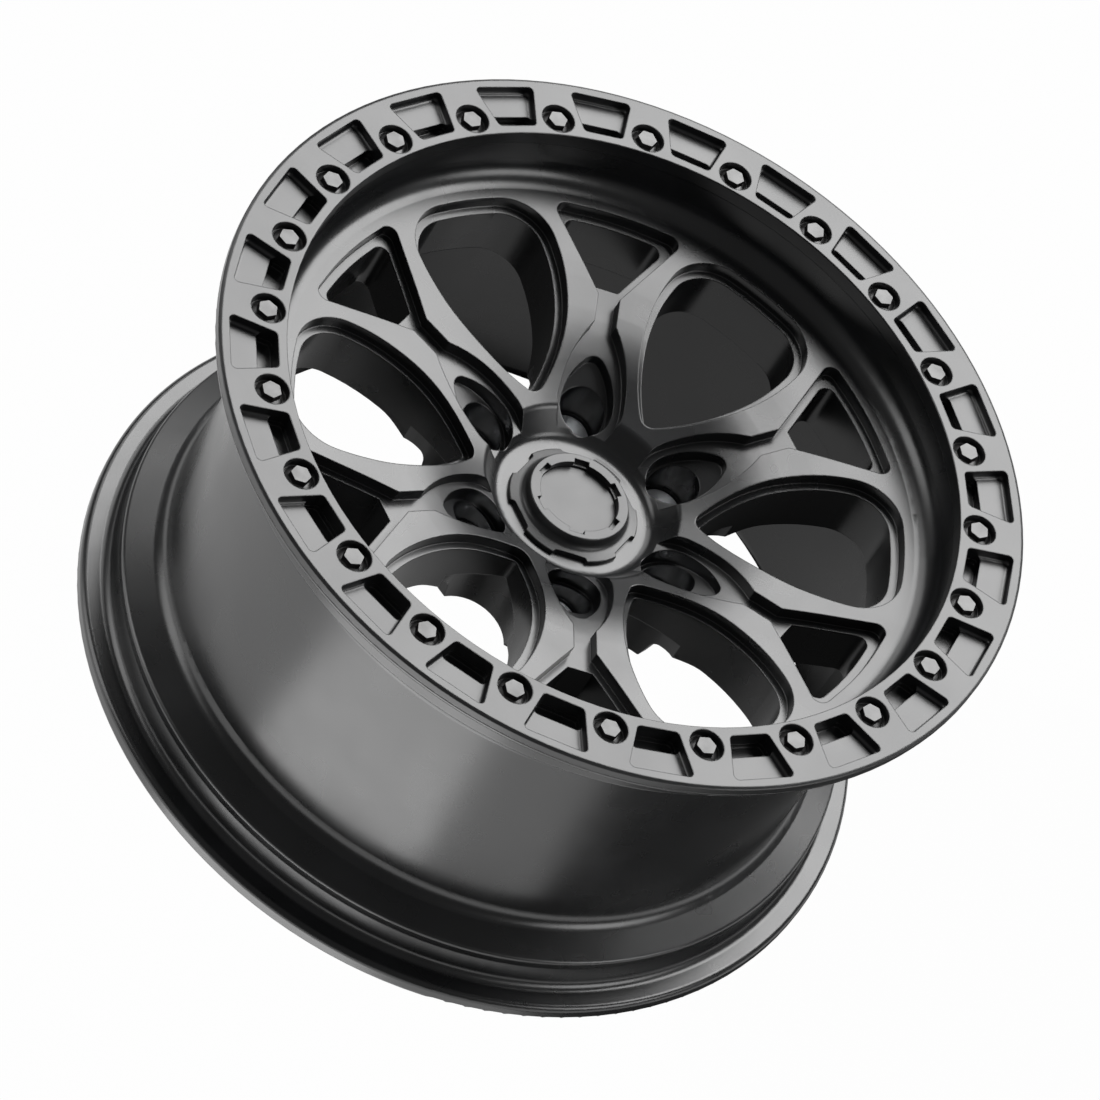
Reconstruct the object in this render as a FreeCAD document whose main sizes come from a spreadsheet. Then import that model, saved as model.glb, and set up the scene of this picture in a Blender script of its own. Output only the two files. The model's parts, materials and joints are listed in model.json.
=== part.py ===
import FreeCAD, Part
import math
import os

import Sketcher

# Off-road wheel, 18 inch, six lugs, millimetres.
# +Z runs along the axle out of the street face, and the hub pad lies in the plane Z = 0.
# The first spoke points along +Y. Depths are measured down from the bead ring's front face.

SIZES = {
    # Overall
    "face_height": 125.0,
    "rear_depth": 125.0,
    # Rim section
    "flange_r": 249.0,
    "flange_gap": 228.6,
    "flange_back": 10.7,
    "flange_round": 4.0,
    "flange_edge_round": 0.8,
    "seat_r": 231.2,
    "seat_end_r": 229.8,
    "seat_end_depth": 37.0,
    "seat_fillet": 6.0,
    "seat_edge_round": 2.5,
    "well_r": 208.0,
    "well_start_depth": 58.0,
    "well_end_depth": 207.0,
    "well_fillet": 14.0,
    "well_rear_fillet": 10.0,
    "hump_r": 231.6,
    "hump_depth": 216.5,
    "rear_seat_depth": 223.5,
    "rear_seat_r": 230.4,
    "rear_seat_end_r": 232.2,
    "rear_flange_r": 248.5,
    "rear_round": 2.5,
    "rest_inner_r": 236.0,
    "rest_inner_rise": 12.0,
    "barrel_wall": 7.5,
    "barrel_fillet": 12.0,
    # Bowl and face
    "bowl_r": 209.5,
    "bowl_fillet": 13.5,
    "bowl_depth": 38.0,
    "face_mid_r": 150.0,
    "face_mid_depth": 45.0,
    "face_inner_r": 104.0,
    "face_inner_depth": 53.0,
    "face_hub_r": 61.0,
    "face_hub_depth": 69.5,
    "disc_rear_r": 188.0,
    "disc_rear_depth": 82.0,
    "disc_mid_r": 120.0,
    "disc_mid_depth": 93.0,
    "disc_hub_depth": 108.0,
    "disc_edge_depth": 92.0,
    "disc_edge_round": 8.0,
    "disc_mid_round": 40.0,
    "face_mid_round": 300.0,
    "face_inner_round": 180.0,
    "face_hub_round": 6.0,
    # Hub
    "pad_r": 86.0,
    "pad_flare": 3.0,
    "pad_fillet": 10.0,
    "pad_round": 1.5,
    "scallop_at": 96.0,
    "scallop_r": 26.0,
    "scallop_height": 38.0,
    "hub_bore_r": 53.05,
    "hub_bore_length": 20.0,
    "cap_bore_r": 35.6,
    "hub_face_r": 49.0,
    "hub_face_depth": 86.5,
    "hub_face_fillet": 8.0,
    "hub_edge_round": 0.8,
    # Windows
    "spoke_count": 6,
    "ledge_depth": 8.0,
    "ledge_width": 5.0,
    "window_top_r": 191.5,
    "window_corner_r": 30.0,
    "window_flank_r": 119.0,
    "window_tip_r": 8.0,
    "window_tip_at": 77.7,
    "window_corner_x": 17.6,
    "fork_half_top": 43.7,
    "fork_top_turn": 7.0,
    "fork_corner_r": 6.0,
    "neck_half": 6.8,
    "neck_top": 133.2,
    "neck_end": 114.4,
    "fork_overlap": 6.0,
    "fork_web": 10.0,
    "channel_half": 20.8,
    "channel_at": 66.0,
    # Lugs
    "lug_circle_r": 69.85,
    "lug_well_r": 15.0,
    "lug_well_depth": 103.0,
    "lug_seat_r": 12.6,
    "lug_seat_angle": 30.0,
    "lug_bore_r": 7.7,
    "recess_half": 16.5,
    "recess_at": 68.0,
    "recess_tip_r": 7.0,
    "recess_tip_at": 91.5,
    "recess_depth": 84.3,
    "recess_slope": 26.8,
    # Valve hole
    "valve_r": 5.7,
    "valve_angle": 240.0,
    "valve_at_r": 205.5,
    "valve_at_depth": 34.0,
    "valve_tilt": 45.0,
    "valve_back": 8.0,
    "valve_drill": 34.0,
    # Bead ring
    "ring_r": 249.4,
    "ring_bore_r": 208.6,
    "ring_thick": 9.7,
    "ring_lip": 5.8,
    "ring_chamfer": 1.8,
    "ring_bore_round": 0.6,
    "register_r": 244.4,
    "register_gap": 0.1,
    "pocket_count": 24,
    "pocket_outer_r": 242.7,
    "pocket_inner_r": 214.0,
    "pocket_outer_half": 19.8,
    "pocket_inner_half": 12.3,
    "pocket_depth": 6.1,
    "pocket_round": 3.0,
    "slot_outer_r": 224.8,
    "slot_depth": 13.0,
    "pocket_fillet": 2.0,
    "ring_seam_round": 0.5,
    # Ring bolts
    "bolt_circle_r": 220.9,
    "counterbore_r": 10.4,
    "counterbore_depth": 6.4,
    "bolt_flats": 10.6,
    "bolt_flange_r": 8.5,
    "bolt_flange_thick": 1.8,
    "bolt_shank_r": 4.0,
    "bolt_length": 20.0,
    "bolt_hole_gap": 0.1,
    "bolt_tip_room": 1.0,
    "bolt_head_sink": 0.2,
    # Centre cap
    "cap_rim_r": 30.9,
    "cap_rim_depth": 75.0,
    "cap_rim_width": 6.3,
    "cap_rim_round": 0.8,
    "cap_flare": 1.4,
    "cap_flare_fillet": 4.0,
    "cap_base_r": 36.9,
    "cap_base_thick": 4.4,
    "cap_lobe_r": 40.4,
    "cap_lobe_thick": 2.6,
    "cap_gap_half": 9.6,
    "cap_gap_outer_half": 13.0,
    "cap_gap_round": 2.0,
    "cap_skirt_r": 35.3,
    "cap_skirt_wall": 2.2,
    "cap_skirt_length": 11.0,
    "cap_web": 2.2,
    "cap_notch_half": 4.6,
    "cap_notch_width": 2.6,
    "cap_notch_depth": 3.2,
    "disc_thick": 2.0,
    "disc_depth": 79.6,
    "disc_gap": 0.2,
    "retainer_wire_r": 1.0,
}

doc = FreeCAD.newDocument("off_road_wheel")
sheet = doc.addObject("Spreadsheet::Sheet", "Sizes")
for row, (alias, number) in enumerate(SIZES.items(), start=1):
    sheet.set(f"A{row}", alias)
    sheet.set(f"B{row}", str(number))
    sheet.setAlias(f"B{row}", alias)
doc.recompute()


class Size:
    """A number together with the sheet formula that gives it."""

    def __init__(self, value, formula):
        self.value = value
        self.formula = formula

    def __add__(self, other):
        other = as_size(other)
        return Size(self.value + other.value, f"({self.formula} + {other.formula})")

    def __radd__(self, other):
        return as_size(other) + self

    def __sub__(self, other):
        other = as_size(other)
        return Size(self.value - other.value, f"({self.formula} - {other.formula})")

    def __rsub__(self, other):
        return as_size(other) - self

    def __mul__(self, other):
        other = as_size(other)
        return Size(self.value * other.value, f"({self.formula} * {other.formula})")

    def __rmul__(self, other):
        return as_size(other) * self

    def __truediv__(self, other):
        other = as_size(other)
        return Size(self.value / other.value, f"({self.formula} / {other.formula})")

    def __neg__(self):
        return Size(-self.value, f"(-1 * {self.formula})")


def as_size(number):
    if isinstance(number, Size):
        return number
    return Size(float(number), repr(float(number)))


class Sheet:
    """Reads a named cell as a Size: cell.flange_r and so on."""

    def __getattr__(self, alias):
        return Size(float(sheet.get(alias)), f"Sizes.{alias}")


cell = Sheet()


def level(depth):
    """Height of a point at a depth below the ring's front face."""
    return cell.face_height - depth


def bind(thing, prop, value):
    """Sets a property from a formula of the sheet."""
    value = as_size(value)
    thing.setExpression(prop, value.formula)


def new_body(name):
    body = doc.addObject("PartDesign::Body", name)
    body.AllowCompound = True
    return body


def new_sketch(body, name, plane="XY_Plane", lift=None):
    """A sketch on one of the body's own origin planes, lifted along its normal."""
    sketch = body.newObject("Sketcher::SketchObject", name)
    support = [item for item in body.Origin.OriginFeatures if item.Role == plane][0]
    sketch.AttachmentSupport = [(support, "")]
    sketch.MapMode = "FlatFace"
    if lift is not None:
        bind(sketch, "AttachmentOffset.Base.z", lift)
    return sketch


def place_point(sketch, geometry, end, x, y):
    """Ties a point of the sketch to the origin by two formulas."""
    for kind, value, axis in (("DistanceX", x, -2), ("DistanceY", y, -1)):
        value = as_size(value)
        if value.formula == "0.0":
            sketch.addConstraint(Sketcher.Constraint("PointOnObject", geometry, end, axis))
            continue
        index = sketch.addConstraint(Sketcher.Constraint(kind, -1, 1, geometry, end, value.value))
        bind(sketch, f"Constraints[{index}]", value)


def set_radius(sketch, geometry, radius):
    radius = as_size(radius)
    index = sketch.addConstraint(Sketcher.Constraint("Radius", geometry, radius.value))
    bind(sketch, f"Constraints[{index}]", radius)


def flat(x, y):
    return FreeCAD.Vector(x, y, 0)


def outline(sketch, corners):
    """Closed outline of straight edges; a corner (x, y, radius) is rounded, (x, y) is sharp."""
    count = len(corners)
    points = [flat(as_size(corner[0]).value, as_size(corner[1]).value) for corner in corners]
    arrive, leave, middle = [], [], []
    for i, corner in enumerate(corners):
        here = points[i]
        back = (points[i - 1] - here).normalize()
        ahead = (points[(i + 1) % count] - here).normalize()
        if len(corner) == 2:
            arrive.append(here)
            leave.append(here)
            middle.append(None)
            continue
        half_angle = back.getAngle(ahead) / 2
        radius = as_size(corner[2]).value
        reach = radius / math.tan(half_angle)
        centre = here + (back + ahead).normalize() * (radius / math.sin(half_angle))
        arrive.append(here + back * reach)
        leave.append(here + ahead * reach)
        middle.append(centre + (here - centre).normalize() * radius)
    lines = []
    for i in range(count):
        edge = Part.LineSegment(leave[i], arrive[(i + 1) % count])
        lines.append(sketch.addGeometry(edge, False))
    for i, corner in enumerate(corners):
        before, after = lines[i - 1], lines[i]
        if len(corner) == 2:
            sketch.addConstraint(Sketcher.Constraint("Coincident", before, 2, after, 1))
            place_point(sketch, after, 1, corner[0], corner[1])
            continue
        arc = Part.Arc(arrive[i], middle[i], leave[i])
        turn = sketch.addGeometry(arc, False)
        first, last = 1, 2
        if sketch.getPoint(turn, 1).distanceToPoint(arrive[i]) > 1e-6:
            first, last = 2, 1
        sketch.addConstraint(Sketcher.Constraint("Tangent", before, 2, turn, first))
        sketch.addConstraint(Sketcher.Constraint("Tangent", turn, last, after, 1))
        set_radius(sketch, turn, corner[2])
        vertex = sketch.addGeometry(Part.Point(points[i]), True)
        place_point(sketch, vertex, 1, corner[0], corner[1])
        sketch.addConstraint(Sketcher.Constraint("PointOnObject", vertex, 1, before))
        sketch.addConstraint(Sketcher.Constraint("PointOnObject", vertex, 1, after))


def circle(sketch, x, y, radius):
    x, y, radius = as_size(x), as_size(y), as_size(radius)
    ring = Part.Circle(flat(x.value, y.value), FreeCAD.Vector(0, 0, 1), radius.value)
    index = sketch.addGeometry(ring, False)
    place_point(sketch, index, 3, x, y)
    set_radius(sketch, index, radius)


def pad(body, name, sketch, length, downward=False):
    feature = body.newObject("PartDesign::Pad", name)
    feature.Profile = sketch
    bind(feature, "Length", length)
    feature.Reversed = downward
    return feature


def pocket(body, name, sketch, length, upward=False):
    feature = body.newObject("PartDesign::Pocket", name)
    feature.Profile = sketch
    bind(feature, "Length", length)
    feature.Reversed = upward
    return feature


def turned(body, kind, name, sketch, axis="V_Axis"):
    """Revolution or Groove of a section about an axis of its sketch."""
    feature = body.newObject(f"PartDesign::{kind}", name)
    feature.Profile = sketch
    feature.ReferenceAxis = (sketch, [axis])
    feature.Angle = 360.0
    return feature


def around(body, name, features, count):
    """Copies features round the axle."""
    pattern = body.newObject("PartDesign::PolarPattern", name)
    pattern.Originals = features
    axle = [item for item in body.Origin.OriginFeatures if item.Role == "Z_Axis"][0]
    pattern.Axis = (axle, [""])
    pattern.Angle = 360.0
    pattern.Refine = False
    bind(pattern, "Occurrences", count)
    body.Tip = pattern
    return pattern


def rim_section():
    """Half section of the casting before its windows, slots, lug wells and scallops are cut."""
    c = cell
    seat = level(c.ring_thick)
    register = c.register_r + c.register_gap
    rear = -c.rear_depth
    rear_flange = level(c.flange_back + c.flange_gap)
    inner_r = c.well_r - c.barrel_wall
    return [
        (c.bowl_r, seat),
        (register, seat),
        (register, level(c.ring_lip)),
        (c.flange_r, level(c.ring_lip), c.flange_edge_round),
        (c.flange_r, level(c.flange_back), c.flange_round),
        (c.seat_r, level(c.flange_back), c.seat_fillet),
        (c.seat_end_r, level(c.seat_end_depth), c.seat_edge_round),
        (c.well_r, level(c.well_start_depth), c.well_fillet),
        (c.well_r, level(c.well_end_depth), c.well_rear_fillet),
        (c.hump_r, level(c.hump_depth), c.seat_edge_round),
        (c.rear_seat_r, level(c.rear_seat_depth), c.seat_edge_round),
        (c.rear_seat_end_r, rear_flange, c.seat_fillet),
        (c.rear_flange_r, rear_flange, c.flange_round),
        (c.rear_flange_r, rear, c.rear_round),
        (c.rest_inner_r, rear, c.rear_round),
        (c.rear_seat_end_r - c.barrel_wall, rear + c.rest_inner_rise, c.seat_fillet),
        (c.hump_r - c.barrel_wall, level(c.hump_depth + c.barrel_wall), c.rear_round),
        (inner_r, level(c.well_end_depth + c.barrel_wall), c.barrel_fillet),
        (inner_r, level(c.disc_edge_depth), c.disc_edge_round),
        (c.disc_rear_r, level(c.disc_rear_depth), c.disc_edge_round),
        (c.disc_mid_r, level(c.disc_mid_depth), c.disc_mid_round),
        (c.pad_r + c.pad_flare, level(c.disc_hub_depth), c.pad_fillet),
        (c.pad_r, 0, c.pad_round),
        (c.hub_bore_r, 0, c.pad_round),
        (c.hub_bore_r, c.hub_bore_length),
        (c.cap_bore_r, c.hub_bore_length),
        (c.cap_bore_r, level(c.hub_face_depth), c.hub_edge_round),
        (c.hub_face_r, level(c.hub_face_depth), c.hub_face_fillet),
        (c.face_hub_r, level(c.face_hub_depth), c.face_hub_round),
        (c.face_inner_r, level(c.face_inner_depth), c.face_inner_round),
        (c.face_mid_r, level(c.face_mid_depth), c.face_mid_round),
        (c.bowl_r, level(c.bowl_depth), c.bowl_fillet),
    ]


def trapezoid(inner_r, inner_half, outer_r, outer_half, corner_r):
    return [
        (-inner_half, inner_r, corner_r),
        (inner_half, inner_r, corner_r),
        (outer_half, outer_r, corner_r),
        (-outer_half, outer_r, corner_r),
    ]


def slot_outline():
    """The inner part of a ring pocket, which goes deeper, into the casting under the ring."""
    c = cell
    share = (c.slot_outer_r - c.pocket_inner_r) / (c.pocket_outer_r - c.pocket_inner_r)
    outer_half = c.pocket_inner_half + (c.pocket_outer_half - c.pocket_inner_half) * share
    return trapezoid(c.pocket_inner_r, c.pocket_inner_half, c.slot_outer_r, outer_half, c.pocket_round)


def half_step(count):
    """Half of the angle between neighbours of a ring of that many, in degrees."""
    return 180.0 / count.value


def turned_placement(angle):
    """A rotation about the axle."""
    return FreeCAD.Placement(FreeCAD.Vector(), FreeCAD.Rotation(FreeCAD.Vector(0, 0, 1), angle))


def blank():
    """The turned casting with its ring seat and bolt holes."""
    c = cell
    body = new_body("casting_blank")
    section = new_sketch(body, "rim_section", "XZ_Plane")
    outline(section, rim_section())
    turned(body, "Revolution", "rim_turned", section)
    doc.recompute()
    holes = new_sketch(body, "bolt_hole_outline", lift=level(c.ring_thick))
    circle(holes, 0, c.bolt_circle_r, c.bolt_shank_r + c.bolt_hole_gap)
    engaged = c.bolt_length - (c.ring_thick - c.counterbore_depth)
    drilled = pocket(body, "bolt_hole", holes, engaged + c.bolt_tip_room)
    around(body, "bolt_holes", [drilled], c.pocket_count)
    doc.recompute()
    return body


def slots():
    """Tool for the floors of the slots, sunk in the casting's ring seat."""
    c = cell
    body = new_body("slot_tool")
    down = new_sketch(body, "slot_outline", lift=level(c.slot_depth))
    outline(down, slot_outline())
    sunk = pad(body, "slot_down", down, c.slot_depth)
    around(body, "slots", [sunk], c.pocket_count)
    body.Placement = turned_placement(half_step(c.pocket_count))
    doc.recompute()
    return body


def window_outline(sketch, inset):
    """Rounded window between two spokes, a chain of six tangent arcs about the +Y line."""
    c = cell
    top_r = c.window_top_r - inset
    corner_r = c.window_corner_r - inset
    flank_r = c.window_flank_r - inset
    tip_r = c.window_tip_r - inset
    corner_x = c.window_corner_x
    corner_y = math.sqrt((top_r.value - corner_r.value) ** 2 - corner_x.value ** 2)
    corner = flat(corner_x.value, corner_y)
    tip = flat(0, c.window_tip_at.value)
    near, far = flank_r.value - corner_r.value, flank_r.value - tip_r.value
    apart = corner - tip
    along = (apart.Length ** 2 + far ** 2 - near ** 2) / (2 * apart.Length)
    across = math.sqrt(far ** 2 - along ** 2)
    unit = flat(apart.x, apart.y).normalize()
    flank = tip + unit * along + flat(-unit.y, unit.x) * across
    top_joint = flat(corner.x, corner.y).normalize() * top_r.value
    flank_joint = flank + (corner - flank).normalize() * flank_r.value
    tip_joint = flank + (tip - flank).normalize() * flank_r.value

    def mirror(point):
        return flat(-point.x, point.y)

    def between(centre, radius, first, last):
        return centre + ((first + last) * 0.5 - centre).normalize() * radius.value

    right = [
        (between(corner, corner_r, top_joint, flank_joint), top_joint, flank_joint, corner_r),
        (between(flank, flank_r, flank_joint, tip_joint), flank_joint, tip_joint, flank_r),
    ]
    chain = [(flat(0, top_r.value), mirror(top_joint), top_joint, top_r)]
    chain += right
    chain.append((tip - flat(0, tip_r.value), tip_joint, mirror(tip_joint), tip_r))
    for through, first, last, radius in reversed(right):
        chain.append((mirror(through), mirror(last), mirror(first), radius))
    arcs = []
    for through, first, last, radius in chain:
        index = sketch.addGeometry(Part.Arc(first, through, last), False)
        starts = sketch.getPoint(index, 1).distanceToPoint(first) < 1e-6
        arcs.append((index, 1 if starts else 2, 2 if starts else 1))
    for i, (index, first, last) in enumerate(arcs):
        following, start, _ = arcs[(i + 1) % len(arcs)]
        sketch.addConstraint(Sketcher.Constraint("Tangent", index, last, following, start))
    sketch.addConstraint(Sketcher.Constraint("Coincident", arcs[0][0], 3, -1, 1))
    for i in range(len(arcs)):
        set_radius(sketch, arcs[i][0], chain[i][3])
    place_point(sketch, arcs[3][0], 3, 0, c.window_tip_at)
    for i, x in ((1, corner_x), (5, -corner_x)):
        index = sketch.addConstraint(Sketcher.Constraint("DistanceX", -1, 1, arcs[i][0], 3, x.value))
        bind(sketch, f"Constraints[{index}]", x)


def fork_outline(inset, low):
    """Triangular window inside a fork, its point down the spoke and its top curved about the axle."""
    c = cell
    turn = math.radians(c.fork_top_turn.value)
    top_r = c.window_top_r - inset
    peak = top_r / math.cos(turn)
    shoulder = c.window_top_r / math.cos(turn) - c.fork_half_top * math.tan(turn)
    run = (c.fork_half_top - c.neck_half) / (shoulder - c.neck_top)
    shift = inset * math.sqrt(1.0 + run.value ** 2)
    low_half = c.neck_half - shift + (low - c.neck_top) * run
    top_half = (c.neck_half - shift + (peak - c.neck_top) * run) / (1.0 + run * math.tan(turn))
    top = peak - top_half * math.tan(turn)
    return [
        (-low_half, low),
        (low_half, low),
        (top_half, top, c.fork_corner_r),
        (0, peak, top_r),
        (-top_half, top, c.fork_corner_r),
    ]


def channel_outline(sketch):
    """Sunk channel along a spoke: a straight neck that swells round the lug."""
    c = cell
    neck, half, at = c.neck_half.value, c.channel_half.value, c.channel_at.value
    top, bend = c.neck_top.value + c.fork_overlap.value, c.neck_end.value
    rise = bend - at
    spread = half - neck
    flank_r = (spread ** 2 + rise ** 2) / (2 * spread)
    middle_y = at + rise / 2
    middle_x = half - flank_r + math.sqrt(flank_r ** 2 - (rise / 2) ** 2)
    pieces = [
        Part.LineSegment(flat(-neck, top), flat(neck, top)),
        Part.LineSegment(flat(neck, top), flat(neck, bend)),
        Part.Arc(flat(neck, bend), flat(middle_x, middle_y), flat(half, at)),
        Part.Arc(flat(half, at), flat(0, at - half), flat(-half, at)),
        Part.Arc(flat(-half, at), flat(-middle_x, middle_y), flat(-neck, bend)),
        Part.LineSegment(flat(-neck, bend), flat(-neck, top)),
    ]
    for piece in pieces:
        sketch.addGeometry(piece, False)


def recess_outline(sketch):
    """Teardrop round a lug well, its point up the spoke."""
    c = cell
    half, at = c.recess_half.value, c.recess_at.value
    tip_r, tip_at = c.recess_tip_r.value, c.recess_tip_at.value
    rise = tip_at - at
    flank_r = (half ** 2 + rise ** 2 - tip_r ** 2) / (2 * (half - tip_r))
    flank = flat(half - flank_r, at)
    tip = flat(0, tip_at)
    joint = flank + (tip - flank).normalize() * flank_r
    middle = flank + ((joint + flat(half, at)) * 0.5 - flank).normalize() * flank_r
    pieces = [
        Part.Arc(flat(-joint.x, joint.y), flat(0, tip_at + tip_r), joint),
        Part.Arc(joint, middle, flat(half, at)),
        Part.Arc(flat(half, at), flat(0, at - half), flat(-half, at)),
        Part.Arc(flat(-half, at), flat(-middle.x, middle.y), flat(-joint.x, joint.y)),
    ]
    for piece in pieces:
        sketch.addGeometry(piece, False)


def ledge_section():
    """Region under the ledge, which stands the ledge depth below the spokes' face."""
    c = cell
    deep = c.ledge_depth
    rise = (c.face_mid_depth - c.bowl_depth) / (c.bowl_r - c.face_mid_r)
    fall = (c.face_hub_depth - c.face_inner_depth) / (c.face_inner_r - c.face_hub_r)
    outer_depth = c.bowl_depth - (c.flange_r - c.bowl_r) * rise
    centre_depth = c.face_hub_depth + c.face_hub_r * fall
    return [
        (0, -c.rear_depth),
        (c.flange_r, -c.rear_depth),
        (c.flange_r, level(outer_depth + deep)),
        (c.face_mid_r, level(c.face_mid_depth + deep), c.face_mid_round),
        (c.face_inner_r, level(c.face_inner_depth + deep), c.face_inner_round),
        (0, level(centre_depth + deep)),
    ]


def upper_forks():
    """Tool for the front step of the forks and their channels, down to the ledge."""
    c = cell
    body = new_body("upper_tool")
    fork = new_sketch(body, "fork_outline")
    outline(fork, fork_outline(as_size(0.0), c.neck_top))
    fork_pad = pad(body, "fork", fork, c.face_height)
    channel = new_sketch(body, "channel_outline")
    channel_outline(channel)
    channel_pad = pad(body, "channel", channel, c.face_height)
    around(body, "forks", [fork_pad, channel_pad], c.spoke_count)
    trim = new_sketch(body, "ledge_section", "XZ_Plane")
    outline(trim, ledge_section())
    turned(body, "Groove", "ledge", trim)
    doc.recompute()
    return body


def upper_windows():
    """Tool for the front step of the windows between the spokes."""
    c = cell
    body = new_body("window_upper_tool")
    window = new_sketch(body, "window_outline")
    window_outline(window, as_size(0.0))
    window_pad = pad(body, "window", window, c.face_height)
    around(body, "windows", [window_pad], c.spoke_count)
    trim = new_sketch(body, "window_ledge_section", "XZ_Plane")
    outline(trim, ledge_section())
    turned(body, "Groove", "window_ledge", trim)
    body.Placement = turned_placement(half_step(c.spoke_count))
    doc.recompute()
    return body


def lower_windows():
    """Tool for the windows right through, inside their ledges."""
    c = cell
    body = new_body("window_lower_tool")
    window = new_sketch(body, "window_inner_outline", lift=-c.rear_depth)
    window_outline(window, c.ledge_width)
    window_pad = pad(body, "window_inner", window, c.rear_depth + c.face_height)
    around(body, "windows_inner", [window_pad], c.spoke_count)
    body.Placement = turned_placement(half_step(c.spoke_count))
    doc.recompute()
    return body


def lower_forks():
    """Tool for the fork windows right through, inside their ledges."""
    c = cell
    body = new_body("fork_lower_tool")
    fork = new_sketch(body, "fork_inner_outline", lift=-c.rear_depth)
    outline(fork, fork_outline(c.ledge_width, c.neck_top + c.fork_web))
    fork_pad = pad(body, "fork_inner", fork, c.rear_depth + c.face_height)
    around(body, "forks_inner", [fork_pad], c.spoke_count)
    doc.recompute()
    return body


def lug_recesses():
    """Tool for the teardrop recesses with their sloping floors."""
    c = cell
    body = new_body("recess_tool")
    teardrop = new_sketch(body, "recess_outline")
    recess_outline(teardrop)
    drop = pad(body, "recess", teardrop, c.face_height)
    doc.recompute()
    floor = new_sketch(body, "recess_floor", "YZ_Plane")
    slope = math.tan(math.radians(c.recess_slope.value))
    reach = c.lug_circle_r
    here = level(c.recess_depth)
    outline(floor, [
        (c.lug_circle_r - reach, -c.rear_depth),
        (c.lug_circle_r + reach, -c.rear_depth),
        (c.lug_circle_r + reach, here + reach * slope),
        (c.lug_circle_r - reach, here - reach * slope),
    ])
    shaved = body.newObject("PartDesign::Pocket", "recess_shaved")
    shaved.Profile = floor
    shaved.Midplane = True
    bind(shaved, "Length", c.recess_half * 4.0)
    around(body, "recesses", [drop, shaved], c.spoke_count)
    doc.recompute()
    return body


def lug_wells():
    """Tool for the lug wells with their conical seats and stud bores."""
    c = cell
    body = new_body("lug_tool")
    section = new_sketch(body, "lug_section", "YZ_Plane")
    at = c.lug_circle_r
    seat_drop = (c.lug_seat_r - c.lug_bore_r) / math.tan(math.radians(c.lug_seat_angle.value))
    floor = level(c.lug_well_depth)
    top = level(c.face_hub_depth)
    below = -c.lug_bore_r
    outline(section, [
        (at, below),
        (at + c.lug_bore_r, below),
        (at + c.lug_bore_r, floor - seat_drop),
        (at + c.lug_seat_r, floor),
        (at + c.lug_well_r, floor),
        (at + c.lug_well_r, top),
        (at, top),
    ])
    line = Part.LineSegment(flat(at.value, below.value), flat(at.value, top.value))
    stud_line = section.addGeometry(line, True)
    place_point(section, stud_line, 1, at, below)
    place_point(section, stud_line, 2, at, top)
    well = turned(body, "Revolution", "lug_well", section, "Axis0")
    around(body, "lug_wells", [well], c.spoke_count)
    doc.recompute()
    return body


def hub_scallops():
    """Tool for the round valleys of the hub pad under the windows, so that it swells at each lug."""
    c = cell
    body = new_body("scallop_tool")
    valley = new_sketch(body, "scallop_outline", lift=-c.pad_round)
    circle(valley, 0, c.scallop_at, c.scallop_r)
    sunk = pad(body, "scallop", valley, c.scallop_height)
    around(body, "scallops", [sunk], c.spoke_count)
    body.Placement = turned_placement(half_step(c.spoke_count))
    doc.recompute()
    return body


def valve_hole():
    """Plain valve hole, drilled outward and down through the bowl's corner."""
    c = cell
    hole = doc.addObject("Part::Cylinder", "valve_tool")
    bind(hole, "Radius", c.valve_r)
    bind(hole, "Height", c.valve_drill)
    spin = turned_placement(c.valve_angle.value)
    tilt = FreeCAD.Rotation(FreeCAD.Vector(0, 1, 0), 90.0 + c.valve_tilt.value)
    back = c.valve_back.value
    start = FreeCAD.Vector(c.valve_at_r.value - back, 0, level(c.valve_at_depth).value + back)
    hole.Placement = spin.multiply(FreeCAD.Placement(start, tilt))
    return hole


def wheel_casting():
    """Barrel, bowl, six forked spokes and hub, cast in one."""
    base = blank()
    tools = [lower_windows(), lower_forks(), upper_windows(), upper_forks(), lug_recesses(), lug_wells()]
    tools += [hub_scallops(), slots(), valve_hole()]
    cut = base
    for i, tool in enumerate(tools):
        step = doc.addObject("Part::Cut", f"casting_cut_{i + 1}")
        step.Base = cut
        step.Tool = tool
        step.Refine = False
        cut = step
    doc.recompute()
    cut.Label = "wheel_casting"
    return cut


def ring_blank():
    """The turned ring with its counterbores and bolt holes."""
    c = cell
    body = new_body("ring_blank")
    section = new_sketch(body, "ring_section", "XZ_Plane")
    outline(section, [
        (c.ring_bore_r, level(c.ring_thick)),
        (c.register_r, level(c.ring_thick)),
        (c.register_r, level(c.ring_lip)),
        (c.ring_r, level(c.ring_lip), c.ring_seam_round),
        (c.ring_r, level(c.ring_chamfer / 2.0)),
        (c.ring_r - c.ring_chamfer, c.face_height),
        (c.ring_bore_r, c.face_height, c.ring_bore_round),
    ])
    turned(body, "Revolution", "ring_turned", section)
    doc.recompute()
    seats = new_sketch(body, "counterbore_outline", lift=level(c.counterbore_depth))
    circle(seats, 0, c.bolt_circle_r, c.counterbore_r)
    counterbore = pocket(body, "counterbore", seats, c.counterbore_depth, upward=True)
    holes = new_sketch(body, "ring_hole_outline", lift=level(c.counterbore_depth))
    circle(holes, 0, c.bolt_circle_r, c.bolt_shank_r + 3.0 * c.bolt_hole_gap)
    hole = pocket(body, "ring_hole", holes, c.ring_thick - c.counterbore_depth)
    around(body, "ring_holes", [counterbore, hole], c.pocket_count)
    doc.recompute()
    return body


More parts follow.
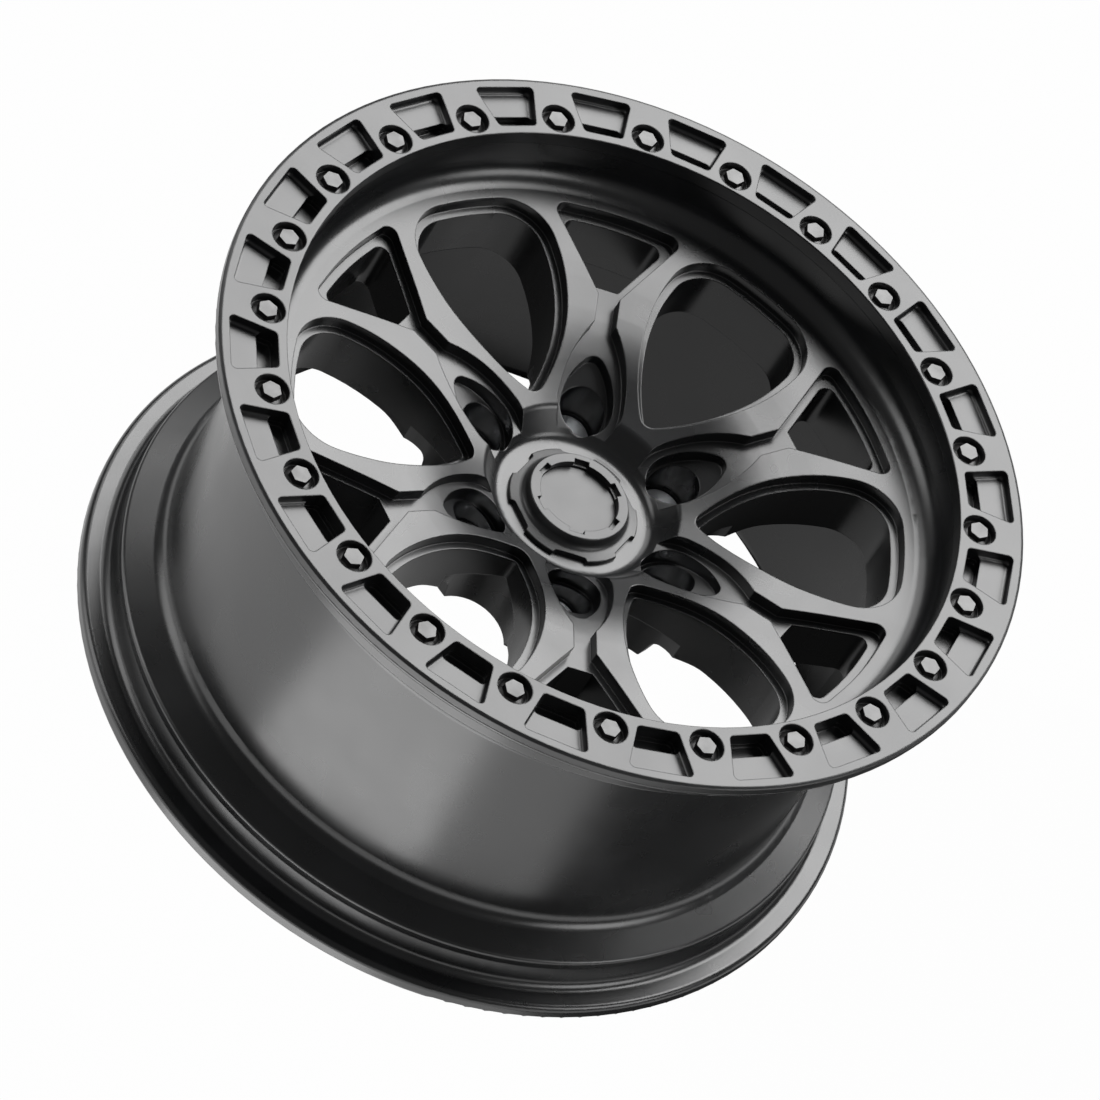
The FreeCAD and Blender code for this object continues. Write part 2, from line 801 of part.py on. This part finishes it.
def ring_pockets():
    """Tool for the pockets of the ring: a filleted floor, and a slot right through inside it."""
    c = cell
    body = new_body("pocket_tool")
    wide = new_sketch(body, "pocket_outline", lift=level(c.pocket_depth))
    outline(wide, trapezoid(
        c.pocket_inner_r, c.pocket_inner_half, c.pocket_outer_r, c.pocket_outer_half, c.pocket_round))
    floor = pad(body, "pocket", wide, c.pocket_depth)
    doc.recompute()
    bottom = level(c.pocket_depth).value
    edges = []
    for index, edge in enumerate(floor.Shape.Edges, start=1):
        if edge.BoundBox.ZMax < bottom + 1e-6:
            edges.append(f"Edge{index}")
    soft = body.newObject("PartDesign::Fillet", "pocket_floor_fillet")
    soft.Base = (floor, edges)
    bind(soft, "Radius", c.pocket_fillet)
    doc.recompute()
    narrow = new_sketch(body, "ring_slot_outline", lift=level(c.ring_thick))
    outline(narrow, slot_outline())
    pad(body, "ring_slot", narrow, c.ring_thick)
    doc.recompute()
    ring = around(body, "pockets", [], c.pocket_count)
    ring.TransformMode = "Whole shape"
    body.Placement = turned_placement(half_step(c.pocket_count))
    doc.recompute()
    return body


def bead_ring():
    """Outer ring, bolted to the front flange, with a pocket between each pair of bolts."""
    cut = doc.addObject("Part::Cut", "ring_cut")
    cut.Base = ring_blank()
    cut.Tool = ring_pockets()
    cut.Refine = False
    cut.Label = "bead_ring"
    doc.recompute()
    return cut


def ring_bolts():
    """Hex flange bolts, one in each counterbore, with plain shanks."""
    c = cell
    body = new_body("ring_bolts")
    seat = level(c.counterbore_depth)
    shank = new_sketch(body, "bolt_shank_outline", lift=seat - c.bolt_length)
    circle(shank, 0, c.bolt_circle_r, c.bolt_shank_r)
    shank_pad = pad(body, "bolt_shank", shank, c.bolt_length)
    flange = new_sketch(body, "bolt_flange_outline", lift=seat)
    circle(flange, 0, c.bolt_circle_r, c.bolt_flange_r)
    flange_pad = pad(body, "bolt_flange", flange, c.bolt_flange_thick)
    hexagon = new_sketch(body, "bolt_hex_outline", lift=seat)
    corner = c.bolt_flats / math.sqrt(3.0)
    points = []
    for i in range(6):
        angle = math.radians(60.0 * i)
        points.append((corner * math.cos(angle), c.bolt_circle_r + corner * math.sin(angle)))
    outline(hexagon, points)
    hex_pad = pad(body, "bolt_hex", hexagon, c.counterbore_depth - c.bolt_head_sink)
    around(body, "bolts", [shank_pad, flange_pad, hex_pad], c.pocket_count)
    doc.recompute()
    body.Label = "ring_bolts"
    return body


def cap_body():
    """Centre cap: a flared shell with lobes under the windows and a skirt that clips into the hub."""
    c = cell
    body = new_body("cap_body")
    seat = level(c.hub_face_depth)
    top = level(c.cap_rim_depth)
    floor = level(c.disc_depth + c.disc_thick)
    rim_inner = c.cap_rim_r - c.cap_rim_width
    section = new_sketch(body, "cap_section", "XZ_Plane")
    outline(section, [
        (0, floor),
        (rim_inner, floor),
        (rim_inner, top),
        (c.cap_rim_r, top, c.cap_rim_round),
        (c.cap_rim_r + c.cap_flare, seat + c.cap_base_thick, c.cap_flare_fillet),
        (c.cap_lobe_r, seat + c.cap_lobe_thick, c.cap_rim_round),
        (c.cap_lobe_r, seat),
        (c.cap_skirt_r, seat),
        (c.cap_skirt_r, seat - c.cap_skirt_length),
        (c.cap_skirt_r - c.cap_skirt_wall, seat - c.cap_skirt_length),
        (c.cap_skirt_r - c.cap_skirt_wall, floor - c.cap_web),
        (0, floor - c.cap_web),
    ])
    turned(body, "Revolution", "cap_turned", section)
    doc.recompute()
    gap = new_sketch(body, "lobe_gap_outline", lift=top)
    outline(gap, [
        (-c.cap_gap_half, c.cap_base_r, c.cap_gap_round),
        (c.cap_gap_half, c.cap_base_r, c.cap_gap_round),
        (c.cap_gap_outer_half, c.cap_lobe_r + c.cap_gap_round),
        (-c.cap_gap_outer_half, c.cap_lobe_r + c.cap_gap_round),
    ])
    gap_cut = pocket(body, "lobe_gap", gap, top - seat)
    notch = new_sketch(body, "notch_outline", lift=top)
    outline(notch, [
        (-c.cap_notch_half, rim_inner - c.cap_notch_width),
        (c.cap_notch_half, rim_inner - c.cap_notch_width),
        (c.cap_notch_half, rim_inner + c.cap_notch_width),
        (-c.cap_notch_half, rim_inner + c.cap_notch_width),
    ])
    notch_cut = pocket(body, "notch", notch, c.cap_notch_depth)
    around(body, "lobes", [gap_cut, notch_cut], c.spoke_count)
    doc.recompute()
    body.Label = "cap_body"
    return body


def cap_disc():
    """Plain disc set in the top of the cap."""
    c = cell
    disc = doc.addObject("Part::Cylinder", "cap_disc")
    bind(disc, "Radius", c.cap_rim_r - c.cap_rim_width - c.disc_gap)
    bind(disc, "Height", c.disc_thick)
    bind(disc, "Placement.Base.z", level(c.disc_depth + c.disc_thick))
    disc.Label = "cap_disc"
    return disc


def cap_retainer():
    """Spring wire ring that presses the cap's skirt outward."""
    c = cell
    wire = doc.addObject("Part::Torus", "cap_retainer")
    bind(wire, "Radius1", c.cap_skirt_r - c.cap_skirt_wall - c.retainer_wire_r)
    bind(wire, "Radius2", c.retainer_wire_r)
    bind(wire, "Placement.Base.z", level(c.hub_face_depth + c.cap_skirt_length / 2.0))
    wire.Label = "cap_retainer"
    return wire


parts = [wheel_casting(), bead_ring(), ring_bolts(), cap_body(), cap_disc(), cap_retainer()]
doc.recompute()

for item in doc.Objects:
    if "Invalid" in item.State or "Error" in item.State:
        raise RuntimeError(f"{item.Name} failed: {item.State}")
for part in parts:
    if part.Shape.isNull() or not part.Shape.isValid():
        raise RuntimeError(f"{part.Label} has no valid shape")

os.makedirs("parts", exist_ok=True)
for part in parts:
    part.Shape.exportStep(f"parts/{part.Label}.step")
    print(part.Label, len(part.Shape.Solids), "solids", round(part.Shape.Volume), "mm3")
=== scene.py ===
import json
import math

import bmesh
import bpy
from mathutils import Matrix, Vector


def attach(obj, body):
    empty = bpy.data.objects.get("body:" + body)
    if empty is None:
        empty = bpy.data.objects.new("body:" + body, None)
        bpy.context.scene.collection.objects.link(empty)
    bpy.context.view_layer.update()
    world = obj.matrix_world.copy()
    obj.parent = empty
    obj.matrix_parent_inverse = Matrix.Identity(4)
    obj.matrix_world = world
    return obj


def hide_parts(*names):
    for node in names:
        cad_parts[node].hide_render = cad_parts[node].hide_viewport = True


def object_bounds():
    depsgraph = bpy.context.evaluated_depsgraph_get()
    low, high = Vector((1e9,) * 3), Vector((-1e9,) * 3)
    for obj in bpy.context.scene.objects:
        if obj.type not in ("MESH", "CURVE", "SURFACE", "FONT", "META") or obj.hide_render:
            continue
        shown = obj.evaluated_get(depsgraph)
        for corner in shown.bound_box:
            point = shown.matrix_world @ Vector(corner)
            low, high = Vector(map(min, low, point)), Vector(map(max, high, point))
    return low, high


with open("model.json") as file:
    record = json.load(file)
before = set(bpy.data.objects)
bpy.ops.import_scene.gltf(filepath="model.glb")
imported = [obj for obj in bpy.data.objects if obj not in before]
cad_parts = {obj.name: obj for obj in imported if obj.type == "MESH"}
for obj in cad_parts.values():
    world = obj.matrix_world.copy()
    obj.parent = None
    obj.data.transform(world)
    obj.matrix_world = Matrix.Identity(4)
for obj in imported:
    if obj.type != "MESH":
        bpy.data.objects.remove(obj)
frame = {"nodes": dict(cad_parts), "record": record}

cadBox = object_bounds()  # the CAD model's box, before anything is dressed
mm = 0.001
scene = bpy.context.scene
scene.view_settings.view_transform = "Standard"


def hexToLinear(code):
    parts = [int(code[i:i + 2], 16) / 255 for i in (1, 3, 5)]
    return [c / 12.92 if c <= 0.04045 else ((c + 0.055) / 1.055) ** 2.4 for c in parts] + [1.0]


def addNode(tree, kind, sockets=None, **settings):
    node = tree.nodes.new(kind)
    for name, value in settings.items():
        setattr(node, name, value)
    for socket, value in (sockets or {}).items():
        if isinstance(value, bpy.types.NodeSocket):
            tree.links.new(value, node.inputs[socket])
        else:
            node.inputs[socket].default_value = value
    return node


def newMaterial(name):
    material = bpy.data.materials.new(name)
    material.use_nodes = True
    material.node_tree.nodes.clear()
    return material, material.node_tree


def closeMaterial(tree, shader):
    addNode(tree, "ShaderNodeOutputMaterial", {"Surface": shader.outputs[0]})


def perMm(size):
    return 1.0 / (size * mm)  # noise scale whose grains are that many millimetres across


# Satin black powder coat, sprayed and baked: a soft broad sheen with a faint orange peel.
coat = {
    "deep": "#121314",
    "worn": "#18191b",
    "colourSpan": (0.35, 0.7),  # part of the cloud noise over which the colour changes
    "roughness": (0.25, 0.32),
    "roughSpan": (0.3, 0.7),
    "index": 1.8,
    "edgeMm": 1.1,  # the coat rounds every edge by about this much
    "edgeSamples": 6,
    "peelMm": 1.8,  # the real peel is about 0.5 mm, drawn coarser so that it shows
    "peelHeightMm": 0.012,
    "peelDetail": 2.0,
    "cloudMm": 45.0,
    "cloudDetail": 3.0,
}


def coatShader(tree, finish, seed=0.0):
    place = addNode(tree, "ShaderNodeTexCoord")
    shifted = addNode(tree, "ShaderNodeVectorMath", {0: place.outputs["Object"], 1: (seed, seed, 0.0)})
    cloud = addNode(tree, "ShaderNodeTexNoise", {
        "Vector": shifted.outputs[0], "Scale": perMm(finish["cloudMm"]), "Detail": finish["cloudDetail"]})
    colour = addNode(tree, "ShaderNodeValToRGB", {"Fac": cloud.outputs["Fac"]})
    for stop, at, tone in zip(colour.color_ramp.elements, finish["colourSpan"], ("deep", "worn")):
        stop.position = at
        stop.color = hexToLinear(finish[tone])
    fromLow, fromHigh = finish["roughSpan"]
    low, high = finish["roughness"]
    rough = addNode(tree, "ShaderNodeMapRange", {
        "Value": cloud.outputs["Fac"], "From Min": fromLow, "From Max": fromHigh,
        "To Min": low, "To Max": high})
    peel = addNode(tree, "ShaderNodeTexNoise", {
        "Vector": shifted.outputs[0], "Scale": perMm(finish["peelMm"]), "Detail": finish["peelDetail"]})
    edge = addNode(tree, "ShaderNodeBevel", {"Radius": finish["edgeMm"] * mm}, samples=finish["edgeSamples"])
    bump = addNode(tree, "ShaderNodeBump", {
        "Height": peel.outputs["Fac"], "Strength": 1.0, "Distance": finish["peelHeightMm"] * mm,
        "Normal": edge.outputs["Normal"]})
    return addNode(tree, "ShaderNodeBsdfPrincipled", {
        "Base Color": colour.outputs["Color"], "Roughness": rough.outputs["Result"],
        "Normal": bump.outputs["Normal"], "IOR": finish["index"]})


# Rear lip of the casting, as turned. Its true normal keeps the mesh's long triangles
# from showing as saw teeth.
lip = {
    "hollowMm": (237.6, -108.3),  # centre of the hollow fillet at the seat, radius and height
    "crestMm": 244.5,  # the lip's flat ends here and its round edge begins
    "edgeMm": (-122.5, -118.3),  # heights between which the lip's outside is straight
    "topMm": -108.8,
    "flatMm": -114.6,
    "seatMm": 231.5,
}


def lipNormal(tree, radius, height, turn):
    hollowOut, hollowUp = lip["hollowMm"]
    edgeLow, edgeHigh = lip["edgeMm"]
    section = addNode(tree, "ShaderNodeCombineXYZ", {"X": radius, "Z": height})
    under = addNode(tree, "ShaderNodeVectorMath", {
        0: section.outputs[0], 1: (lip["crestMm"] * mm, 0.0, edgeHigh * mm)}, operation="MINIMUM")
    core = addNode(tree, "ShaderNodeVectorMath", {
        0: under.outputs[0], 1: (0.0, 0.0, edgeLow * mm)}, operation="MAXIMUM")
    roundWay = addNode(tree, "ShaderNodeVectorMath", {
        0: section.outputs[0], 1: core.outputs[0]}, operation="SUBTRACT")
    hollowWay = addNode(tree, "ShaderNodeVectorMath", {
        0: (hollowOut * mm, 0.0, hollowUp * mm), 1: section.outputs[0]}, operation="SUBTRACT")
    onLip = addNode(tree, "ShaderNodeMath", {0: radius, 1: hollowOut * mm}, operation="GREATER_THAN")
    way = addNode(tree, "ShaderNodeMix", {
        0: onLip.outputs[0], 4: hollowWay.outputs[0], 5: roundWay.outputs[0]}, data_type="VECTOR")
    swung = addNode(tree, "ShaderNodeVectorRotate", {"Vector": way.outputs[1], "Angle": turn},
                    rotation_type="Z_AXIS")
    normal = addNode(tree, "ShaderNodeVectorMath", {0: swung.outputs[0]}, operation="NORMALIZE")
    front = addNode(tree, "ShaderNodeMath", {0: height, 1: lip["flatMm"] * mm}, operation="GREATER_THAN")
    mask = addNode(tree, "ShaderNodeMath", {0: onLip.outputs[0], 1: front.outputs[0]}, operation="MAXIMUM")
    limits = ((height, lip["topMm"], "LESS_THAN"), (height, edgeLow, "GREATER_THAN"),
              (radius, lip["seatMm"], "GREATER_THAN"))
    for value, limit, side in limits:
        test = addNode(tree, "ShaderNodeMath", {0: value, 1: limit * mm}, operation=side)
        mask = addNode(tree, "ShaderNodeMath", {0: mask.outputs[0], 1: test.outputs[0]}, operation="MULTIPLY")
    return mask.outputs[0], normal.outputs[0]


# The lug seats are left uncoated and turned: bright aluminium with fine rings.
lugHoles = next(mount["dims"] for mount in frame["record"]["mounts"] if mount["name"] == "lug_holes")
seat = {
    "circleMm": lugHoles["pcd_mm"] / 2,
    "count": lugHoles["count"],
    "reachMm": 12.8,
    "heightMm": 22.6,
    "metal": "#eeeff1",
    "roughness": 0.42,
    "ringMm": 1.2,  # turning marks are about 0.1 mm apart, drawn coarser so that they show
    "ringHeightMm": 0.02,
    "ringStrength": 0.3,
}


def castCoat():
    material, tree = newMaterial("satinPowderCoatCasting")
    paint = coatShader(tree, coat)
    place = addNode(tree, "ShaderNodeTexCoord")
    axes = addNode(tree, "ShaderNodeSeparateXYZ", {0: place.outputs["Object"]})
    across = addNode(tree, "ShaderNodeCombineXYZ", {"X": axes.outputs["X"], "Y": axes.outputs["Y"]})
    length = addNode(tree, "ShaderNodeVectorMath", {0: across.outputs[0]}, operation="LENGTH")
    radius, height = length.outputs["Value"], axes.outputs["Z"]
    turn = addNode(tree, "ShaderNodeMath", {0: axes.outputs["Y"], 1: axes.outputs["X"]}, operation="ARCTAN2")

    mask, turned = lipNormal(tree, radius, height, turn.outputs[0])
    bump = paint.inputs["Normal"].links[0].from_node
    rounded = bump.inputs["Normal"].links[0].from_socket
    smooth = addNode(tree, "ShaderNodeMix", {0: mask, 4: rounded, 5: turned}, data_type="VECTOR")
    tree.links.new(smooth.outputs[1], bump.inputs["Normal"])

    half = math.pi / seat["count"]  # half the turn from lug to lug, the first on +Y
    moved = addNode(tree, "ShaderNodeMath", {0: turn.outputs[0], 1: half}, operation="SUBTRACT")
    folded = addNode(tree, "ShaderNodeMath", {0: moved.outputs[0], 1: half, 2: -half}, operation="WRAP")
    cosine = addNode(tree, "ShaderNodeMath", {0: folded.outputs[0]}, operation="COSINE")
    sine = addNode(tree, "ShaderNodeMath", {0: folded.outputs[0]}, operation="SINE")
    outward = addNode(tree, "ShaderNodeMath", {0: radius, 1: cosine.outputs[0], 2: -seat["circleMm"] * mm},
                      operation="MULTIPLY_ADD")
    sideways = addNode(tree, "ShaderNodeMath", {0: radius, 1: sine.outputs[0]}, operation="MULTIPLY")
    flat = addNode(tree, "ShaderNodeCombineXYZ", {"X": outward.outputs[0], "Y": sideways.outputs[0]})
    reach = addNode(tree, "ShaderNodeVectorMath", {0: flat.outputs[0]}, operation="LENGTH")
    near = addNode(tree, "ShaderNodeMath", {0: reach.outputs["Value"], 1: seat["reachMm"] * mm},
                   operation="LESS_THAN")
    low = addNode(tree, "ShaderNodeMath", {0: height, 1: seat["heightMm"] * mm}, operation="LESS_THAN")
    bare = addNode(tree, "ShaderNodeMath", {0: near.outputs[0], 1: low.outputs[0]}, operation="MULTIPLY")

    rings = addNode(tree, "ShaderNodeTexWave", {
        "Vector": flat.outputs[0], "Scale": perMm(seat["ringMm"]) / (2 * math.pi)},
        wave_type="RINGS", rings_direction="Z")
    marks = addNode(tree, "ShaderNodeBump", {
        "Height": rings.outputs["Fac"], "Strength": seat["ringStrength"],
        "Distance": seat["ringHeightMm"] * mm})
    metal = addNode(tree, "ShaderNodeBsdfPrincipled", {
        "Base Color": hexToLinear(seat["metal"]), "Metallic": 1.0, "Roughness": seat["roughness"],
        "Normal": marks.outputs["Normal"]})
    both = addNode(tree, "ShaderNodeMixShader", {
        0: bare.outputs[0], 1: paint.outputs[0], 2: metal.outputs[0]})
    closeMaterial(tree, both)
    return material


# The ring is machined before its coat, so its peel is finer; its sheen is a little broader.
ringFinish = dict(coat, roughness=(0.28, 0.34), peelMm=1.4, peelHeightMm=0.007)

# Black oxide on steel: thin, slightly brown black over a real metal sheen.
oxide = dict(coat, deep="#151414", worn="#211f1f", roughness=(0.28, 0.42), index=1.9, edgeMm=0.15,
             peelMm=2.5, peelHeightMm=0.01, cloudMm=9.0)

# Moulded ABS with a spark eroded grain: an even, slightly greyer black than the coat.
moulded = dict(coat, deep="#141516", worn="#191a1c", roughness=(0.36, 0.40), edgeMm=0.6,
               peelMm=1.2, peelHeightMm=0.02, cloudMm=20.0)


def plainCoat(name, finish, seed):
    material, tree = newMaterial(name)
    closeMaterial(tree, coatShader(tree, finish, seed))
    return material


# Drawn spring steel wire: bright, with fine marks left by the die.
wire = {"metal": "#9a9b9e", "roughness": (0.22, 0.42), "markMm": 1.5}


def springSteel():
    material, tree = newMaterial("drawnSpringSteel")
    place = addNode(tree, "ShaderNodeTexCoord")
    mark = addNode(tree, "ShaderNodeTexNoise", {
        "Vector": place.outputs["Object"], "Scale": perMm(wire["markMm"])})
    low, high = wire["roughness"]
    rough = addNode(tree, "ShaderNodeMapRange", {"Value": mark.outputs["Fac"], "To Min": low, "To Max": high})
    closeMaterial(tree, addNode(tree, "ShaderNodeBsdfPrincipled", {
        "Base Color": hexToLinear(wire["metal"]), "Metallic": 1.0, "Roughness": rough.outputs["Result"]}))
    return material


def dress(name, material):
    node = frame["nodes"][name]
    node.data.materials.clear()
    node.data.materials.append(material)


boltSteel = plainCoat("blackOxideSteel", oxide, seed=0.7)
dress("wheel_casting", castCoat())
dress("bead_ring", plainCoat("satinPowderCoatRing", ringFinish, seed=0.3))
dress("ring_bolts", boltSteel)
dress("cap_body", plainCoat("mouldedAbsCap", moulded, seed=1.1))
dress("cap_disc", plainCoat("mouldedAbsDisc", moulded, seed=1.7))
dress("cap_retainer", springSteel())
print("finishes on the CAD nodes")

# Hex flange bolt with its corners chamfered off, on a sloping flange, as the CAD bolt but finer.
bolt = {
    "count": 24,
    "circleMm": 220.9,
    "seatMm": 118.6,  # height of the counterbore's floor
    "flatsMm": 10.6,
    "headMm": 6.2,
    "crownMm": 5.75,  # the chamfer starts here, so it mostly takes the corners
    "chamferTurn": 30.0,
    "leastChamferMm": 0.15,  # the flats lose this much at their top edge
    "rootFilletMm": (0.3, 0.4),  # out along the flange and up the flats
    "flangeMm": 8.5,
    "flangeRootMm": 2.2,
    "flangeEdgeMm": 1.0,
    "flangeRoundMm": (0.3, 0.2, 0.1),  # in from the rim, up the slope and down the rim
    "shankMm": 4.0,
    "lengthMm": 20.0,
    "tipMm": 1.0,
    "segments": 96,
}


def boltRings(angle):
    wedge = math.pi / 3
    off = (angle + wedge / 2) % wedge - wedge / 2
    hexagon = bolt["flatsMm"] / 2 / math.cos(wedge / 2 - abs(off))  # a corner lies at angle 0
    crown = min(bolt["crownMm"], hexagon - bolt["leastChamferMm"])
    shoulder = bolt["headMm"] - (hexagon - crown) * math.tan(math.radians(bolt["chamferTurn"]))
    rootOut, rootUp = bolt["rootFilletMm"]
    rimIn, rimUp, rimDown = bolt["flangeRoundMm"]
    flange, rim, root = bolt["flangeMm"], bolt["flangeEdgeMm"], bolt["flangeRootMm"]
    shank, end = bolt["shankMm"], -bolt["lengthMm"]
    return [
        (crown, bolt["headMm"]),
        (hexagon, shoulder),
        (hexagon, root + rootUp),
        (hexagon + rootOut, root),
        (flange - rimIn, rim + rimUp),
        (flange, rim - rimDown),
        (flange, 0.0),
        (shank, 0.0),
        (shank, end + bolt["tipMm"]),
        (shank - bolt["tipMm"], end),
    ]


def ringBolts():
    shape = bmesh.new()
    angles = [2 * math.pi * i / bolt["segments"] for i in range(bolt["segments"])]
    for k in range(bolt["count"]):
        spin = Matrix.Rotation(2 * math.pi * k / bolt["count"], 4, "Z")
        columns = []
        for angle in angles:
            column = []
            for r, z in boltRings(angle):
                x, y = r * math.cos(angle), bolt["circleMm"] + r * math.sin(angle)
                column.append(shape.verts.new(spin @ (Vector((x, y, bolt["seatMm"] + z)) * mm)))
            columns.append(column)
        for i, column in enumerate(columns):
            following = columns[(i + 1) % len(columns)]
            for low in range(len(column) - 1):
                shape.faces.new((column[low], column[low + 1], following[low + 1], following[low]))
        shape.faces.new([column[0] for column in columns])
        shape.faces.new([column[-1] for column in reversed(columns)])
    bmesh.ops.recalc_face_normals(shape, faces=shape.faces)
    mesh = bpy.data.meshes.new("ringBolts")
    shape.to_mesh(mesh)
    shape.free()
    mesh.materials.append(boltSteel)
    piece = bpy.data.objects.new("ringBolts", mesh)
    scene.collection.objects.link(piece)
    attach(piece, "root")
    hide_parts("ring_bolts")


ringBolts()
print("ring bolts")

# Pale studio floor well below the wheel, which hangs clear of it as in the photograph.
floor = {"half": 40.0, "drop": 0.5, "colour": "#909090", "whiteShare": 0.985}
floorHeight = cadBox[0].z - floor["drop"]


def studioFloor():
    mesh = bpy.data.meshes.new("studioFloor")
    half = floor["half"]
    corners = [(x * half, y * half, floorHeight) for x, y in ((-1, -1), (1, -1), (1, 1), (-1, 1))]
    mesh.from_pydata(corners, [], [(0, 1, 2, 3)])
    sheet = bpy.data.objects.new("studioFloor", mesh)
    scene.collection.objects.link(sheet)
    material, tree = newMaterial("matteWhitePaper")  # seamless paper: white to the eye, its shadow kept faint
    paper = addNode(tree, "ShaderNodeBsdfDiffuse", {"Color": hexToLinear(floor["colour"])})
    white = addNode(tree, "ShaderNodeEmission", {"Strength": 1.0})
    ray = addNode(tree, "ShaderNodeLightPath")
    seen = ray.outputs["Is Camera Ray"]
    for kind in ("Is Glossy Ray", "Is Transmission Ray"):
        either = addNode(tree, "ShaderNodeMath", {0: seen, 1: ray.outputs[kind]}, operation="MAXIMUM")
        seen = either.outputs[0]
    share = addNode(tree, "ShaderNodeMath", {0: seen, 1: floor["whiteShare"]}, operation="MULTIPLY")
    both = addNode(tree, "ShaderNodeMixShader", {
        0: share.outputs[0], 1: paper.outputs[0], 2: white.outputs[0]})
    closeMaterial(tree, both)
    mesh.materials.append(material)


# Two cloth cards that the camera doesn't see. They darken what the barrel mirrors.
flag = {"radius": 0.24, "drop": 0.01, "segments": 64, "colour": "#4a4a4a"}
card = {"place": (0.75, -0.1), "size": (0.8, 1.3), "lift": 0.02, "colour": "#444444"}


def hiddenCard(name, shape, place, colour):
    mesh = bpy.data.meshes.new(name)
    shape.to_mesh(mesh)
    shape.free()
    sheet = bpy.data.objects.new(name, mesh)
    sheet.location = place
    sheet.visible_camera = False
    scene.collection.objects.link(sheet)
    material, tree = newMaterial("matteGreyCloth")  # woven cloth: gives the eye only a darker reflection
    closeMaterial(tree, addNode(tree, "ShaderNodeBsdfDiffuse", {"Color": hexToLinear(colour)}))
    mesh.materials.append(material)


def underFlag():
    shape = bmesh.new()
    bmesh.ops.create_circle(shape, cap_ends=True, segments=flag["segments"], radius=flag["radius"])
    hiddenCard("underFlag", shape, (0.0, 0.0, cadBox[0].z - flag["drop"]), flag["colour"])


def sideCard():
    shape = bmesh.new()
    bmesh.ops.create_grid(shape, x_segments=1, y_segments=1, size=0.5)  # a metre square, then scaled
    bmesh.ops.scale(shape, vec=(*card["size"], 1.0), verts=shape.verts)
    hiddenCard("sideCard", shape, (*card["place"], floorHeight + card["lift"]), card["colour"])


studioFloor()
underFlag()
sideCard()
print("floor and cards")

# Soft boxes: place and target from the hub in metres, size in metres, radiance of the cloth.
hub = (0.0, 0.0, 0.0)
softBoxes = {
    "backBox": {"place": (1.3, 1.8, 2.3), "target": hub, "size": (3.2, 2.4), "radiance": 5.2},
    "backLeft": {"place": (-0.9, 2.4, 2.0), "target": hub, "size": (1.4, 1.6), "radiance": 1.8},
    "leftBox": {"place": (-2.4, 0.5, 0.9), "target": hub, "size": (1.2, 2.0), "radiance": 2.0},
    "rightBox": {"place": (1.8, -1.25, 1.2), "target": hub, "size": (1.2, 1.0), "radiance": 3.0},
    "lowFront": {"place": (-0.28, -0.45, -0.5), "target": (-0.1, -0.16, 0.0), "size": (0.55, 0.4),
                 "radiance": 2.0},
    "lightTable": {"place": (0.0, 0.0, -0.128), "target": hub, "size": (0.3, 0.3), "radiance": 0.35},
}


def softBox(name, box):
    width, height = box["size"]
    lamp = bpy.data.lights.new(name, "AREA")
    lamp.shape = "RECTANGLE"
    lamp.size = width
    lamp.size_y = height
    lamp.energy = box["radiance"] * math.pi * width * height
    holder = bpy.data.objects.new(name, lamp)
    holder.location = box["place"]
    aim = Vector(box["target"]) - Vector(box["place"])
    holder.rotation_euler = aim.to_track_quat("-Z", "Y").to_euler()
    holder.visible_camera = False
    scene.collection.objects.link(holder)


for name, box in softBoxes.items():
    softBox(name, box)

air = {"colour": "#ffffff", "strength": 0.1}
world = bpy.data.worlds.new("studioAir")
scene.world = world
world.use_nodes = True
world.node_tree.nodes.clear()
glow = addNode(world.node_tree, "ShaderNodeBackground", {
    "Color": hexToLinear(air["colour"]), "Strength": air["strength"]})
addNode(world.node_tree, "ShaderNodeOutputWorld", {"Surface": glow.outputs[0]})
print("soft boxes and air")

# Camera solved from the ring bolts and both flanges, in the wheel's own frame.
view = {
    "place": (-0.9160, -2.2049, 2.5523),
    "right": (0.92299, 0.05638, 0.38067),
    "up": (-0.28111, 0.77433, 0.56690),
    "lens": 195.0,
    "sensor": 36.0,
}


def studioCamera():
    data = bpy.data.cameras.new("studioCamera")
    data.lens = view["lens"]
    data.sensor_width = view["sensor"]
    camera = bpy.data.objects.new("studioCamera", data)
    right = Vector(view["right"]).normalized()
    back = right.cross(Vector(view["up"])).normalized()
    up = back.cross(right)
    turned = Matrix((right, up, back)).transposed().to_4x4()
    camera.matrix_world = Matrix.Translation(view["place"]) @ turned
    scene.collection.objects.link(camera)
    scene.camera = camera


studioCamera()
print("camera")
